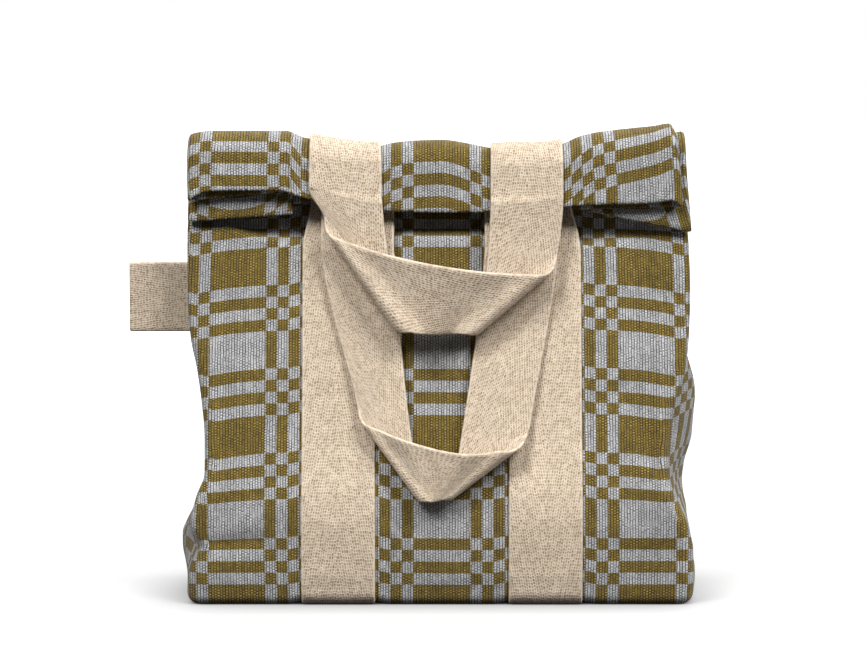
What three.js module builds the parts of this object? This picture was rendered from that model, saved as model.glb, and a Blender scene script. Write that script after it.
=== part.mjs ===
// A soft shopping bag of heavy cloth, standing with its mouth folded forward.
// Lengths are in millimetres: X runs to the right, Y to the back and Z up.
// The bag stands on Z = 0 with its front towards -Y and the middle of its base at the origin.
import * as THREE from 'three';

// Cloth, webbing and sewing
const CLOTH = 2;
const WEBBING = 2;
const WEBBING_WIDTH = 50;
const SEWN_GAP = 0.32;
const SEAM_GAP = 1;
const STRIP_X = 72.5;
const STRIP_OFFSET = CLOTH / 2 + SEWN_GAP + WEBBING / 2;
const STITCHES_Z = 249;

// Base and gussets
const BASE_EDGE_RADIUS = 7;
const GUSSET_HALF = 75;
const GUSSET_SLACK = { left: 0.3, right: 0.5 };
const CREASE_RADIUS_MIN = 3;
const BACK_BOW_SHARE = 0.6;

// The folded top: every layer turns about one axis, the front panel innermost
const FOLD_Y = -21;
const FOLD_Z = 310.5;
const FOLD_RADIUS = 9;
const FOLD_DEPTH = 13;
const FOLD_DEPTH_MIDDLE = 9;
const FOLD_CREASE_RADIUS = 2.2;
const FLAP_FLARE = 4;

// The tab sewn into the left side seam
const TAB = { low: 188, high: 236, inner: -103, outer: -223, spread: 1.3 };
const TAB_GAP = 0.35;
const TAB_ROOM = TAB.spread + WEBBING / 2 + TAB_GAP;
const TAB_ROOM_MARGIN = 7;

// Steps of the surfaces
const CORNER_STEPS = 4;
const GUSSET_STEPS = 5;
const FACE_END_STEPS = 3;
const FOLD_STEPS = 5;
const FLAP_STEPS = 3;
const ROLL_STEPS = 6;
const BOTTOM_STEPS = 4;
const LEG_STEPS = { front: 6, back: 3 };

// Columns of the two faces: the strips' edges and middles, and what lies between them
const STRIP_EDGES = [STRIP_X - WEBBING_WIDTH / 2, STRIP_X, STRIP_X + WEBBING_WIDTH / 2];
const STRIP_MARGIN = 12;
const HALF_COLUMNS = [STRIP_EDGES[0] - STRIP_MARGIN, ...STRIP_EDGES, STRIP_EDGES[2] + STRIP_MARGIN];
const FACE_COLUMNS = [...HALF_COLUMNS.map((x) => -x).reverse(), 0, ...HALF_COLUMNS];

function table(columns, rows) {
  return rows.map((row) => Object.fromEntries(columns.map((name, n) => [name, row[n]])));
}

// The standing body, a row for each height. front, back and middle are the depths of the two
// faces; left and right are the widths at the front, back and seam of each gusset.
const LEVELS = table(
  ['z', 'front', 'back', 'middle', 'bow', 'left', 'leftBack', 'leftSeam',
    'right', 'rightBack', 'rightSeam', 'seamY', 'crease', 'lift', 'buckle', 'hump'],
  [
    [8, -75, 75, 75, 0, 178, 177, 181, 175.5, 175, 177, 10, 11, 0, 0, 1],
    [22, -76, 76, 76, 1, 177, 177, 185, 176, 175, 178, 10, 10, 0, 0, 0.6],
    [32, -76, 77, 77, 1.5, 173.5, 176, 186.5, 175.5, 175, 178, 9.5, 8.5, 0, 0, 0.2],
    [41, -76, 77, 77, 2, 169, 174, 186.5, 175, 174, 178, 9, 7, 0, 0, 0],
    [48, -76, 77, 77, 2.3, 172, 173, 184, 173.5, 172.5, 177, 8.5, 6.5, 0, 0, 0],
    [56, -76, 77, 77, 2.5, 175.5, 172.5, 180, 172, 171, 176, 8, 6, 0, 0, 0],
    [74, -74.5, 76, 76, 2, 171.5, 170.5, 168, 163, 168, 172, 7, 5.5, 0, 0, 0],
    [92, -71, 74, 74, 0, 165.5, 168, 152, 158, 165, 174, 5, 6, 0, 0, 0],
    [115, -66, 69.5, 69.5, -2, 165.7, 168, 137, 159, 164, 179, 3, 7, 0, 0, 0],
    [140, -60, 62, 62, -2, 168, 171, 127, 164, 167, 178, 1, 6.5, 0, 0, 0],
    [166, -53, 53.5, 53.5, 0, 172, 173.5, 120.5, 171, 171, 159, -1, 4.2, 0, 0, 0],
    [185, -47.8, 47.2, 47.2, 1.3, 176.5, 174.5, 117.6, 173.4, 172.7, 142, -3, 4.6, 0, 0.1, 0],
    [216, -39.5, 36, 36, 2.5, 179, 176.5, 114, 174.8, 174.5, 119, -3, 3.6, 0, 0.4, 0],
    [242, -33, 26, 26, 3, 179.3, 177.5, 111.5, 174, 174, 113, -3, 3, 0, 0.9, 0],
    [STITCHES_Z, -31.5, 23.5, 23.5, 3, 179, 177.5, 111, 173.5, 173.5, 112, -3, 2.8, 0, 1, 0],
    [256, -25, 21, 20, 1, 178.5, 177.5, 110, 172.8, 173, 111, -3, 2.6, 0.1, 1, 0],
    [266, -21, 17, 15, 0, 178.5, 178, 109, 172.3, 172.3, 109.5, -3, 2.5, 0.2, 0.8, 0],
    [280, -17, 11.5, 8, 0, 179, 178, 108, 171.8, 171, 108.5, -3, 2.4, 0.45, 0.4, 0],
    [296, -14, 5.5, 0.5, 0, 179, 178, 107.5, 171.5, 169.5, 106, -4, 2.3, 0.75, 0.1, 0],
  ],
);

// Widths of the folded top, by how far the fold has turned and then by the flap's length
const FOLD_WIDTHS = table(
  ['turn', 'left', 'leftBack', 'leftSeam', 'right', 'rightBack', 'rightSeam'],
  [
    [0, 178.5, 178, 107.5, 171, 167, 105],
    [0.5, 177.5, 178.5, 107, 171, 163, 102],
    [1, 178, 178.5, 106, 171.5, 166, 96],
    [2, 178.5, 178, 106, 175.5, 168.5, 93],
  ],
);

// How much the top edge stands above or below the even fold, and how much higher still the
// inner layer stands where it shows past the right end of the outer one
const CREST = table(['x', 'lift', 'inner'], [
  [-180, -5, 0], [-165, -2.5, 0], [-110, -2.5, 0], [-98, -6.8, 0], [-84, -8, 0], [-72, -9, 0],
  [-48, -9.8, 0], [-36, -7.2, 0], [-22, -5.5, 0], [0, -4.8, 0], [22, -8, 0], [36, -10.5, 0],
  [48, -10, 0], [72, -11, 0], [84, -10.5, 0], [98, -6, 0], [110, -3.5, 0], [140, 0, 0], [150, 1, 0],
  [161, 2.8, 1.2], [171, 2.5, 3.6], [178, 2, 4.5],
]);

// How much the front's buckled crease, under the flap, stands above its level
const BUCKLE = table(['x', 'lift'], [
  [-180, 17.5], [-171, 13], [-150, 11], [-129, 4], [-114, 2], [-97, 1], [-60, 3.5], [-40, 5],
  [27, 5], [60, 1.5], [94, -2.5], [112, 0], [140, 3.5], [154, 6], [166, 7.5], [176, 10],
]);

// Heights of the mouth's two hems along the flap, and where the gussets' seams end
const HEMS = table(['x', 'back', 'front'], [
  [-180, 281.5, 268], [-173, 286.5, 268.5], [-166, 289, 272], [-150, 290, 276], [-113, 290, 279],
  [-106, 287.5, 280], [-98, 285, 281], [-72, 280, 283], [-45, 276, 283.5], [0, 274.5, 283.5],
  [45, 275, 283], [72, 277, 282], [98, 279.5, 279], [120, 280.3, 275], [145, 281, 273],
  [157, 282.5, 270], [163, 283, 267.5], [168, 279, 265], [176, 277, 260.5],
]);
const SEAM_HEM = {
  left: { front: 273, back: 290 },
  right: { front: 277.5, back: 276.5 },
};

// The front handle between its strip's end and the front: up behind the flap, over and down
const FRONT_TURN = table(['y', 'z', 'drift'], [
  [-32, 259, 0.1], [-26.5, 268, 0.25], [-21.3, 278, 0.4], [-18.8, 286, 0.55], [-19.8, 288.8, 0.6],
  [-22.5, 290, 0.65], [-25.3, 288.8, 0.7], [-26.5, 286, 0.75], [-27.5, 280, 0.85],
  [-31, 272, 1], [-37.5, 260, 1], [-43.5, 248, 1],
]);

// Depth of each handle's hanging legs by height
const FRONT_LEG = table(['z', 'y'], [
  [56, -85], [74, -83], [92, -79], [115, -73.5], [140, -67], [166, -60.5], [190, -54.5],
  [216, -50], [248, -43.5],
]);
const BACK_LEG = table(['z', 'y'], [
  [165, -68], [190, -62], [216, -56], [240, -52], [262, -49.5], [281, -48.5], [300, -47],
]);

// Where each handle's legs hang below the flap, and the heading in degrees of their edges
const LEGS = {
  front: { depth: FRONT_LEG, left: -59.5, right: 56, leftHeading: -85, rightHeading: 86 },
  back: { depth: BACK_LEG, left: -68, right: 60, leftHeading: -86, rightHeading: 89 },
};

// The soft rolls at which the webbing turns from a leg into the bottom stretch. Each ruling of a
// roll runs from an upper to a lower end: x and z of the ends on the outline, their radii, and
// how far the webbing's edge slips along the roll in half a turn. The last two columns are the
// headings of the edges where they come from the leg and where they leave for the bottom.
const ROLLS = table(
  ['handle', 'side', 'upperX', 'upperZ', 'upperRadius', 'upperSlip', 'lowerX', 'lowerZ', 'lowerRadius',
    'lowerSlip', 'legHeading', 'bottomHeading'],
  [
    ['front', 'left', -56, 129, 3.2, 8, -17, 76.5, 5, 5, -78, -19],
    ['front', 'right', 54, 112, 7, 14, 7, 76.5, 3.2, 4, 81, 12],
    ['back', 'left', -80, 260, 4.5, 10, -33, 194, 8, 8, -77, -19],
    ['back', 'right', 76, 233, 7, 12, 25.5, 190.5, 5, 6, 80, -2],
  ],
);

// The back handle lies a little loose over the fold, and has come in to its legs' place by
// this share of the way from its stitches to the hem
const BACK_LOOSE = 1.4;
const BACK_DRIFT_END = 0.6;

const radians = (degrees) => (degrees * Math.PI) / 180;
const mix = (a, b, t) => a + (b - a) * t;
const clamp01 = (t) => Math.min(1, Math.max(0, t));
const ease = (t) => clamp01(t) ** 2 * (3 - 2 * clamp01(t));

function lookUp(rows, key, at, column) {
  const next = rows.findIndex((row) => row[key] >= at);
  if (next === 0) return rows[0][column];
  if (next < 0) return rows[rows.length - 1][column];
  const [a, b] = [rows[next - 1], rows[next]];
  return mix(a[column], b[column], (at - a[key]) / (b[key] - a[key]));
}

// A row is one section of the bag: its plane starts at the front face and runs by its angle
// to the back face, from level rows up the body to the turning rows of the fold and the flap.
const WIDTHS = ['left', 'leftBack', 'leftSeam', 'right', 'rightBack', 'rightSeam'];

function levelRow(level, inset, z) {
  const widths = Object.fromEntries(WIDTHS.map((name) => [name, level[name] - inset]));
  return {
    ...widths,
    y: level.front + inset,
    z,
    angle: 0,
    depth: level.back - level.front - 2 * inset,
    depthMiddle: level.middle - level.front - 2 * inset,
    seamDepth: level.seamY - level.front - inset,
    seamY: level.seamY,
    crease: Math.max(level.crease - inset, CREASE_RADIUS_MIN * Math.sign(inset)),
    bow: level.bow,
    lift: level.lift,
    buckle: level.buckle,
    hump: level.hump,
    flap: 0,
    tab: level.z > TAB.low - TAB_ROOM_MARGIN && level.z < TAB.high + TAB_ROOM_MARGIN,
  };
}

function foldRow(turn, flap) {
  const at = turn + flap;
  const widths = Object.fromEntries(WIDTHS.map((name) => [name, lookUp(FOLD_WIDTHS, 'turn', at, name)]));
  return {
    ...widths,
    y: FOLD_Y + FOLD_RADIUS * Math.cos(turn * Math.PI) - FLAP_FLARE * flap,
    z: FOLD_Z + FOLD_RADIUS * Math.sin(turn * Math.PI),
    angle: turn * Math.PI,
    depth: FOLD_DEPTH,
    depthMiddle: FOLD_DEPTH_MIDDLE,
    seamDepth: FOLD_DEPTH / 2,
    seamY: 0,
    crease: FOLD_CREASE_RADIUS,
    bow: 0,
    lift: 1,
    buckle: 0,
    hump: 0,
    flap,
    tab: false,
  };
}

function bagRows() {
  const rows = [];
  for (const tilt of [0, Math.PI / 4]) {
    const inset = BASE_EDGE_RADIUS * (1 - Math.sin(tilt));
    const z = CLOTH / 2 + BASE_EDGE_RADIUS * (1 - Math.cos(tilt));
    rows.push(levelRow(LEVELS[0], inset, z));
  }
  for (const level of LEVELS) rows.push(levelRow(level, 0, level.z));
  for (let n = 0; n <= FOLD_STEPS; n += 1) rows.push(foldRow(n / FOLD_STEPS, 0));
  for (let n = 1; n <= FLAP_STEPS; n += 1) rows.push(foldRow(1, n / FLAP_STEPS));
  return rows;
}

const ROWS = bagRows();
const STITCH_ROW = ROWS.findIndex((row) => row.z === STITCHES_Z);

// The point of a panel in a row, at width x and depth d from the front face
function place(row, panel, x, d, fade, hemZ) {
  const y = row.y + d * Math.cos(row.angle);
  let z = row.z + d * Math.sin(row.angle) + lookUp(CREST, 'x', x, 'lift') * row.lift;
  if (panel === 'front') {
    z += lookUp(CREST, 'x', x, 'inner') * row.lift;
    z += lookUp(BUCKLE, 'x', x, 'lift') * row.buckle * fade;
  }
  const away = Math.max(STRIP_EDGES[0] - Math.abs(x), Math.abs(x) - STRIP_EDGES[2], 0);
  z += (SEWN_GAP + WEBBING) * clamp01(1 - away / (STRIP_MARGIN - 1)) * row.hump;
  if (row.flap > 0) z = mix(z, hemZ, row.flap);
  return new THREE.Vector3(x, y, z);
}

function faceDepth(row, panel, x, end) {
  const bow = row.bow * (1 - (x / end) ** 2);
  if (panel === 'front') return -bow;
  const side = ease((Math.abs(x) - STRIP_EDGES[0]) / (STRIP_EDGES[2] + STRIP_MARGIN - STRIP_EDGES[0]));
  return mix(row.depthMiddle, row.depth, side) + BACK_BOW_SHARE * bow;
}

function faceEnds(row, panel) {
  const suffix = panel === 'front' ? '' : 'Back';
  return [-(row[`left${suffix}`] - row.crease), row[`right${suffix}`] - row.crease];
}

function facePoint(row, panel, x) {
  const ends = faceEnds(row, panel);
  const end = x < 0 ? -ends[0] : ends[1];
  return place(row, panel, x, faceDepth(row, panel, x, end), 1, lookUp(HEMS, 'x', x, panel));
}

function faceColumns(row, panel) {
  const [left, right] = faceEnds(row, panel);
  const inner = FACE_COLUMNS[FACE_COLUMNS.length - 1];
  const columns = [];
  for (let n = 0; n < FACE_END_STEPS; n += 1) columns.push(mix(left, -inner, n / FACE_END_STEPS));
  columns.push(...FACE_COLUMNS);
  for (let n = 1; n <= FACE_END_STEPS; n += 1) columns.push(mix(inner, right, n / FACE_END_STEPS));
  return columns;
}

// A point on the flat face between two columns
function onFace(row, panel, x) {
  const columns = faceColumns(row, panel);
  const n = columns.findIndex((column) => column >= x);
  const [a, b] = [columns[n - 1], columns[n]];
  return facePoint(row, panel, a).lerp(facePoint(row, panel, b), (x - a) / (b - a));
}

// A shallow arch stands above its chord by the root of 3/8 of its spare length
const ARCH_RISE = 0.375;

// One panel's corner crease and half gusset on one side, from the face's end to the side seam.
// The crease is an arc, and the half gusset leaves it along the tangent that meets the seam.
function gussetPoints(row, panel, side) {
  const sign = side === 'left' ? -1 : 1;
  const width = row[panel === 'front' ? side : `${side}Back`];
  const radius = row.crease;
  const centre = new THREE.Vector2(width - radius, radius);
  const room = row.tab && side === 'left' ? TAB_ROOM : SEAM_GAP / 2;
  const seamDepth = panel === 'front' ? row.seamDepth : row.depth - row.seamDepth;
  const seam = new THREE.Vector2(row[`${side}Seam`], seamDepth - room);
  let heading = 0;
  for (let pass = 0; pass < 3; pass += 1) {
    const run = seam.clone().sub(centre);
    heading = Math.atan2(run.y, run.x) + Math.asin(radius / run.length());
    seam.y = seamDepth - room - (CLOTH / 2) * Math.abs(Math.cos(heading));
  }
  const onArc = (turn) => new THREE.Vector2(
    centre.x + radius * Math.sin(turn),
    radius - radius * Math.cos(turn),
  );
  const start = onArc(heading);
  const chord = start.distanceTo(seam);
  const clothLength = GUSSET_HALF + (panel === 'front' ? row.seamY : -row.seamY) - radius;
  const slack = Math.sqrt(ARCH_RISE * Math.max(0, clothLength / chord - 1));
  const bulge = GUSSET_SLACK[side] * chord * slack * Math.sin(heading) ** 2;
  const flat = [];
  for (let n = 1; n <= CORNER_STEPS; n += 1) {
    flat.push({ at: onArc((heading * n) / CORNER_STEPS), along: 0 });
  }
  for (let n = 1; n <= GUSSET_STEPS; n += 1) {
    const along = n / GUSSET_STEPS;
    const at = start.clone().lerp(seam, along);
    const out = 4 * along * (1 - along) * bulge;
    at.x += out * Math.sin(heading);
    at.y -= out * Math.cos(heading);
    flat.push({ at, along });
  }
  const cornerHem = lookUp(HEMS, 'x', sign * width, panel);
  return flat.map(({ at, along }) => {
    const d = panel === 'front' ? at.y : row.depth - at.y;
    return place(row, panel, sign * at.x, d, 1 - along, mix(cornerHem, SEAM_HEM[side][panel], along));
  });
}

// A sheet is a middle surface of four-sided faces. Its solid has half the thickness on
// either side, and a rim along every free edge. The step from a point to either side is
// mitred, so that the sheet keeps its thickness round a bend.
const MITRE_MOST = 1.25;

function mitredNormals(points, quads) {
  const around = points.map(() => []);
  for (const quad of quads) {
    const [a, b, c, d] = quad.map((n) => points[n]);
    const normal = c.clone().sub(a).cross(d.clone().sub(b)).normalize();
    for (const n of quad) around[n].push(normal);
  }
  return around.map((normals) => {
    const mean = normals.reduce((sum, normal) => sum.add(normal), new THREE.Vector3()).normalize();
    const lean = normals.reduce((sum, normal) => sum + normal.dot(mean), 0) / normals.length;
    return mean.multiplyScalar(Math.min(1 / lean, MITRE_MOST));
  });
}

function sheetSolid(points, quads, thickness) {
  const normals = mitredNormals(points, quads);
  const count = points.length;
  const faces = [];
  const addQuad = (a, b, c, d) => faces.push(a, b, c, a, c, d);
  const edges = new Map();
  for (const [a, b, c, d] of quads) {
    addQuad(a, b, c, d);
    addQuad(a + count, d + count, c + count, b + count);
    for (const [from, to] of [[a, b], [b, c], [c, d], [d, a]]) edges.set(`${from} ${to}`, [from, to]);
  }
  for (const [from, to] of edges.values()) {
    if (!edges.has(`${to} ${from}`)) addQuad(to, from, from + count, to + count);
  }
  const positions = [];
  for (const side of [0.5, -0.5]) {
    points.forEach((point, n) => {
      const moved = point.clone().addScaledVector(normals[n], side * thickness);
      positions.push(moved.x, moved.y, moved.z);
    });
  }
  const geometry = new THREE.BufferGeometry();
  geometry.setAttribute('position', new THREE.Float32BufferAttribute(positions, 3));
  geometry.setIndex(faces);
  return geometry;
}

// A panel: face, two half gussets and its part of the base, from the mouth to the seams.
// The base part shares the lowest row, and its rows end on the gussets' lower edges.
function clothPanel(panel) {
  const points = [];
  const wall = ROWS.map((row) => {
    const line = [
      ...gussetPoints(row, panel, 'left').reverse(),
      ...faceColumns(row, panel).map((x) => facePoint(row, panel, x)),
      ...gussetPoints(row, panel, 'right'),
    ];
    return line.map((point) => points.push(point) - 1);
  });
  const sideSteps = CORNER_STEPS + GUSSET_STEPS;
  const faceSteps = wall[0].length - 1 - 2 * sideSteps;
  const base = [wall[0].slice(sideSteps, sideSteps + faceSteps + 1)];
  for (let k = 1; k <= sideSteps; k += 1) {
    const left = wall[0][sideSteps - k];
    const right = wall[0][sideSteps + faceSteps + k];
    const line = [left];
    for (let j = 1; j < faceSteps; j += 1) {
      const above = points[base[0][j]];
      const y = mix(points[left].y, points[right].y, j / faceSteps);
      line.push(points.push(new THREE.Vector3(above.x, y, above.z)) - 1);
    }
    line.push(right);
    base.push(line);
  }
  const quads = [];
  const addGrid = (lower, upper) => {
    for (let j = 0; j + 1 < lower.length; j += 1) {
      quads.push([lower[j], lower[j + 1], upper[j + 1], upper[j]]);
    }
  };
  for (let i = 0; i + 1 < wall.length; i += 1) addGrid(wall[i], wall[i + 1]);
  for (let k = 0; k < sideSteps; k += 1) addGrid(base[k + 1], base[k]);
  const outward = panel === 'front' ? quads : quads.map(([a, b, c, d]) => [a, d, c, b]);
  return { points, quads: outward, wall, base, sideSteps };
}

// Webbing is a row of rulings, each with points at its two edges and its middle
const ACROSS = [-1, 0, 1];

function webbingSolid(rulings) {
  const points = rulings.flat();
  const width = ACROSS.length;
  const quads = [];
  for (let i = 0; i + 1 < rulings.length; i += 1) {
    for (let j = 0; j + 1 < width; j += 1) {
      const a = i * width + j;
      quads.push([a, a + 1, a + 1 + width, a + width]);
    }
  }
  return sheetSolid(points, quads, WEBBING);
}

// The stretch sewn to a panel, from the base seam up to the line of stitches
function sewnStretch(cloth, side) {
  const normals = mitredNormals(cloth.points, cloth.quads);
  const faceStart = cloth.sideSteps + FACE_END_STEPS;
  const columns = ACROSS.map((s) => {
    const x = side === 'left' ? -STRIP_X + (s * WEBBING_WIDTH) / 2 : STRIP_X - (s * WEBBING_WIDTH) / 2;
    return FACE_COLUMNS.findIndex((column) => Math.abs(column - x) < 0.01);
  });
  const lines = [
    ...cloth.base.slice(1).reverse().map((line) => columns.map((n) => line[n + FACE_END_STEPS])),
    ...cloth.wall.slice(0, STITCH_ROW + 1).map((line) => columns.map((n) => line[n + faceStart])),
  ];
  return lines.map((line) => line.map((n) => {
    return cloth.points[n].clone().addScaledVector(normals[n], STRIP_OFFSET);
  }));
}

const acrossX = (side, s) => (side === 'left' ? s : -s) * (WEBBING_WIDTH / 2);
const headingVector = (degrees) => new THREE.Vector2(Math.cos(radians(degrees)), Math.sin(radians(degrees)));

// The rulings of one soft roll, a half turn between the leg behind and the bottom in front
function rollRulings(roll) {
  const depth = LEGS[roll.handle].depth;
  const upper = new THREE.Vector2(roll.upperX, roll.upperZ);
  const lower = new THREE.Vector2(roll.lowerX, roll.lowerZ);
  const leftSide = roll.side === 'left';
  const along = (leftSide ? lower.clone().sub(upper) : upper.clone().sub(lower)).normalize();
  const beyond = new THREE.Vector2(along.y, -along.x);
  const rulings = [];
  for (let n = 0; n <= ROLL_STEPS; n += 1) {
    const turn = (n / ROLL_STEPS) * Math.PI;
    const endPoint = (end, radius, slip) => {
      const at = end.clone()
        .addScaledVector(along, slip * (2 * (n / ROLL_STEPS) - 1))
        .addScaledVector(beyond, radius * (Math.sin(turn) - 1));
      const forward = radius * (1 - Math.cos(leftSide ? turn : Math.PI - turn));
      return new THREE.Vector3(at.x, lookUp(depth, 'z', at.y, 'y') - forward, at.y);
    };
    const from = endPoint(upper, roll.upperRadius, roll.upperSlip);
    const to = endPoint(lower, roll.lowerRadius, roll.lowerSlip);
    rulings.push(ACROSS.map((s) => from.clone().lerp(to, (s + 1) / 2)));
  }
  return rulings;
}

// Rulings between two others, each edge running out of one and into the other by its heading
function bridge(from, to, fromHeading, toHeading, steps, depthOf) {
  const [out, into] = [headingVector(fromHeading), headingVector(toHeading)];
  const rulings = [];
  for (let n = 1; n < steps; n += 1) {
    const t = n / steps;
    rulings.push(ACROSS.map((s, j) => {
      const [a, b] = [from[j], to[j]];
      const reach = Math.hypot(b.x - a.x, b.z - a.z);
      const hermite = (p, q, u, v) => (2 * t ** 3 - 3 * t ** 2 + 1) * p + (3 * t ** 2 - 2 * t ** 3) * q
        + (t ** 3 - 2 * t ** 2 + t) * u + (t ** 3 - t ** 2) * v;
      const x = hermite(a.x, b.x, out.x * reach, into.x * reach);
      const z = hermite(a.z, b.z, out.y * reach, into.y * reach);
      return new THREE.Vector3(x, depthOf(a, b, t, z), z);
    }));
  }
  return rulings;
}

// The hanging part of a handle, from the last ruling above its left leg to that of its right leg
function hangingLoop(name, leftTop, rightTop) {
  const legs = LEGS[name];
  const [leftRoll, rightRoll] = ['left', 'right'].map((side) => {
    return ROLLS.find((roll) => roll.handle === name && roll.side === side);
  });
  const [left, right] = [rollRulings(leftRoll), rollRulings(rightRoll)];
  const onLeg = (a, b, t, z) => lookUp(legs.depth, 'z', z, 'y');
  const between = (a, b, t) => mix(a.y, b.y, t);
  const legSteps = LEG_STEPS[name];
  const [bottomIn, bottomOut] = [leftRoll.bottomHeading, rightRoll.bottomHeading];
  return [
    ...bridge(leftTop, left[0], legs.leftHeading, leftRoll.legHeading, legSteps, onLeg),
    ...left,
    ...bridge(left[ROLL_STEPS], right[0], bottomIn, bottomOut, BOTTOM_STEPS, between),
    ...right,
    ...bridge(right[ROLL_STEPS], rightTop, rightRoll.legHeading, legs.rightHeading, legSteps, onLeg),
  ];
}

// The front handle rises from its strip behind the flap, turns over and hangs down in front
function frontTurn(side) {
  const sewnX = side === 'left' ? -STRIP_X : STRIP_X;
  return FRONT_TURN.map(({ y, z, drift }) => ACROSS.map((s) => {
    return new THREE.Vector3(mix(sewnX, LEGS.front[side], drift) + acrossX(side, s), y, z);
  }));
}

// The back handle lies over the folded top, a little loose, down to the flap's hem
function backRise(side) {
  const sewnX = side === 'left' ? -STRIP_X : STRIP_X;
  const rulings = [];
  for (let i = STITCH_ROW + 1; i < ROWS.length - 1; i += 1) {
    const drift = ease((i - STITCH_ROW) / (ROWS.length - 1 - STITCH_ROW) / BACK_DRIFT_END);
    const middle = mix(sewnX, LEGS.back[side], drift);
    rulings.push(ACROSS.map((s) => {
      const x = middle + acrossX(side, s);
      const run = onFace(ROWS[i + 1], 'back', x).sub(onFace(ROWS[i - 1], 'back', x));
      const width = onFace(ROWS[i], 'back', x + 1).sub(onFace(ROWS[i], 'back', x - 1));
      const outward = run.cross(width).normalize();
      return onFace(ROWS[i], 'back', x).addScaledVector(outward, STRIP_OFFSET + BACK_LOOSE);
    }));
  }
  return rulings;
}

function strap(name, cloth) {
  const rise = name === 'front' ? frontTurn : backRise;
  const [leftRise, rightRise] = [rise('left'), rise('right')];
  const loop = hangingLoop(name, leftRise[leftRise.length - 1], rightRise[rightRise.length - 1]);
  return webbingSolid([
    ...sewnStretch(cloth, 'left'),
    ...leftRise,
    ...loop,
    ...rightRise.reverse(),
    ...sewnStretch(cloth, 'right').reverse(),
  ]);
}

// The side tab: one short length of webbing folded double, its ends held in the side seam
function sideTab() {
  const seamY = LEVELS.find((level) => level.z > TAB.low).seamY;
  const line = [];
  for (const side of [1, -1]) {
    const flat = [TAB.inner, mix(TAB.inner, TAB.outer, 0.5)].map((x) => [x, seamY + side * TAB.spread]);
    if (side < 0) flat.reverse();
    if (side < 0) {
      for (let n = 0; n <= 4; n += 1) {
        const turn = (n / 4) * Math.PI;
        line.push([TAB.outer + TAB.spread * (1 - Math.sin(turn)), seamY + TAB.spread * Math.cos(turn)]);
      }
    }
    line.push(...flat);
  }
  const heights = [TAB.low, (TAB.low + TAB.high) / 2, TAB.high];
  return webbingSolid(line.map(([x, y]) => heights.map((z) => new THREE.Vector3(x, y, z))));
}

// Finishes
const clothFinish = () => new THREE.MeshStandardMaterial({ color: 0x8d8768, roughness: 0.95, metalness: 0 });
const webbingFinish = () => new THREE.MeshStandardMaterial({ color: 0xd2c3ad, roughness: 0.9, metalness: 0 });

function named(name, geometry, material) {
  const mesh = new THREE.Mesh(geometry, material);
  mesh.name = name;
  return mesh;
}

const front = clothPanel('front');
const back = clothPanel('back');
const bag = new THREE.Group();
bag.add(
  named('front_panel', sheetSolid(front.points, front.quads, CLOTH), clothFinish()),
  named('back_panel', sheetSolid(back.points, back.quads, CLOTH), clothFinish()),
  named('front_strap', strap('front', front), webbingFinish()),
  named('back_strap', strap('back', back), webbingFinish()),
  named('side_tab', sideTab(), webbingFinish()),
);

export default bag;
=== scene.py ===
# Looks of a soft shopping bag of heavy cloth that stands with its mouth folded forward.
# Lengths in the tables are in millimetres and turn into metres where a mesh is made.
import math

import bpy
import numpy as np
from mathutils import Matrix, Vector


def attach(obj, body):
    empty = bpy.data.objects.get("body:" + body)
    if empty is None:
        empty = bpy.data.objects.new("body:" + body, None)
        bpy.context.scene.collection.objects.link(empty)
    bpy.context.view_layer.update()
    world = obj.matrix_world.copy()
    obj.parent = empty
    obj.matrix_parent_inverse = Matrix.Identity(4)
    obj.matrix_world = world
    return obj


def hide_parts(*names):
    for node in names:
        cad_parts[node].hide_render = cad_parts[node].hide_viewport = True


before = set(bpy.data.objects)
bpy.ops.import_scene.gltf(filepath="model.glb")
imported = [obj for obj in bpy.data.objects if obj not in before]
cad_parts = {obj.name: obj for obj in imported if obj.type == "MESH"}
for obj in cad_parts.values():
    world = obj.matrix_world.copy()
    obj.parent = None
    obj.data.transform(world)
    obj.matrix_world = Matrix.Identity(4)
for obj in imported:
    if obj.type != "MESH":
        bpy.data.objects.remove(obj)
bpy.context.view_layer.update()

MM = 0.001
TINY = 1e-9
IMAGE_WIDTH, IMAGE_HEIGHT = 866, 650

# Cloth, webbing and sewing. A rim stands out by a share of the thickness.
CLOTH = 2.0
WEBBING = 2.0
WEBBING_WIDTH = 50.0
RIM = 0.42
SEWN_GAP = 0.32
STRIP_X = 72.5
STRIP_OFFSET = CLOTH / 2 + SEWN_GAP + WEBBING / 2
STITCHES_Z = 249.0

# Base and gussets
BASE_EDGE_RADIUS = 7.0
LEAST_CREASE = 3.0
GUSSET_HALF = 75.0
GUSSET_SLACK = {"left": 0.3, "right": 0.5}
BACK_BOW_SHARE = 0.6
ARCH_RISE = 0.375

# The gussets' seams: the gap between the two edges, up the side and in the fold, how long the
# change between them takes, how the seam wavers up the side, and the rounds in which its place
# and the heading of the cloth beside it settle
SEAM_GAP = 0.1
FOLD_SEAM_GAP = 1.0
SEAM_EASE = 12.0
SEAM_SWAY = 1.1
SEAM_WAVE = 8.0
SEAM_PHASE = {"left": 0.0, "right": 2.2}
HEADING_ROUNDS = 3

# The folded top turns about one axis, the front panel innermost
FOLD_Y = -21.0
FOLD_Z = 310.5
FOLD_RADIUS = 9.0
FOLD_DEPTH = 13.0
FOLD_DEPTH_MIDDLE = 9.0
FOLD_CREASE_RADIUS = 2.2
FLAP_FLARE = 4.0
FLAP_LENGTH = 25.0

# The tab in the left side seam, which opens round it
TAB = {"low": 188.0, "high": 236.0, "inner": -103.0, "outer": -223.0, "depth": -3.0, "spread": 1.3}
TAB_CLEAR = 0.35
TAB_ROOM = TAB["spread"] + WEBBING / 2 + TAB_CLEAR
TAB_MARGIN = 10.0
TAB_EASE = 8.0

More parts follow.
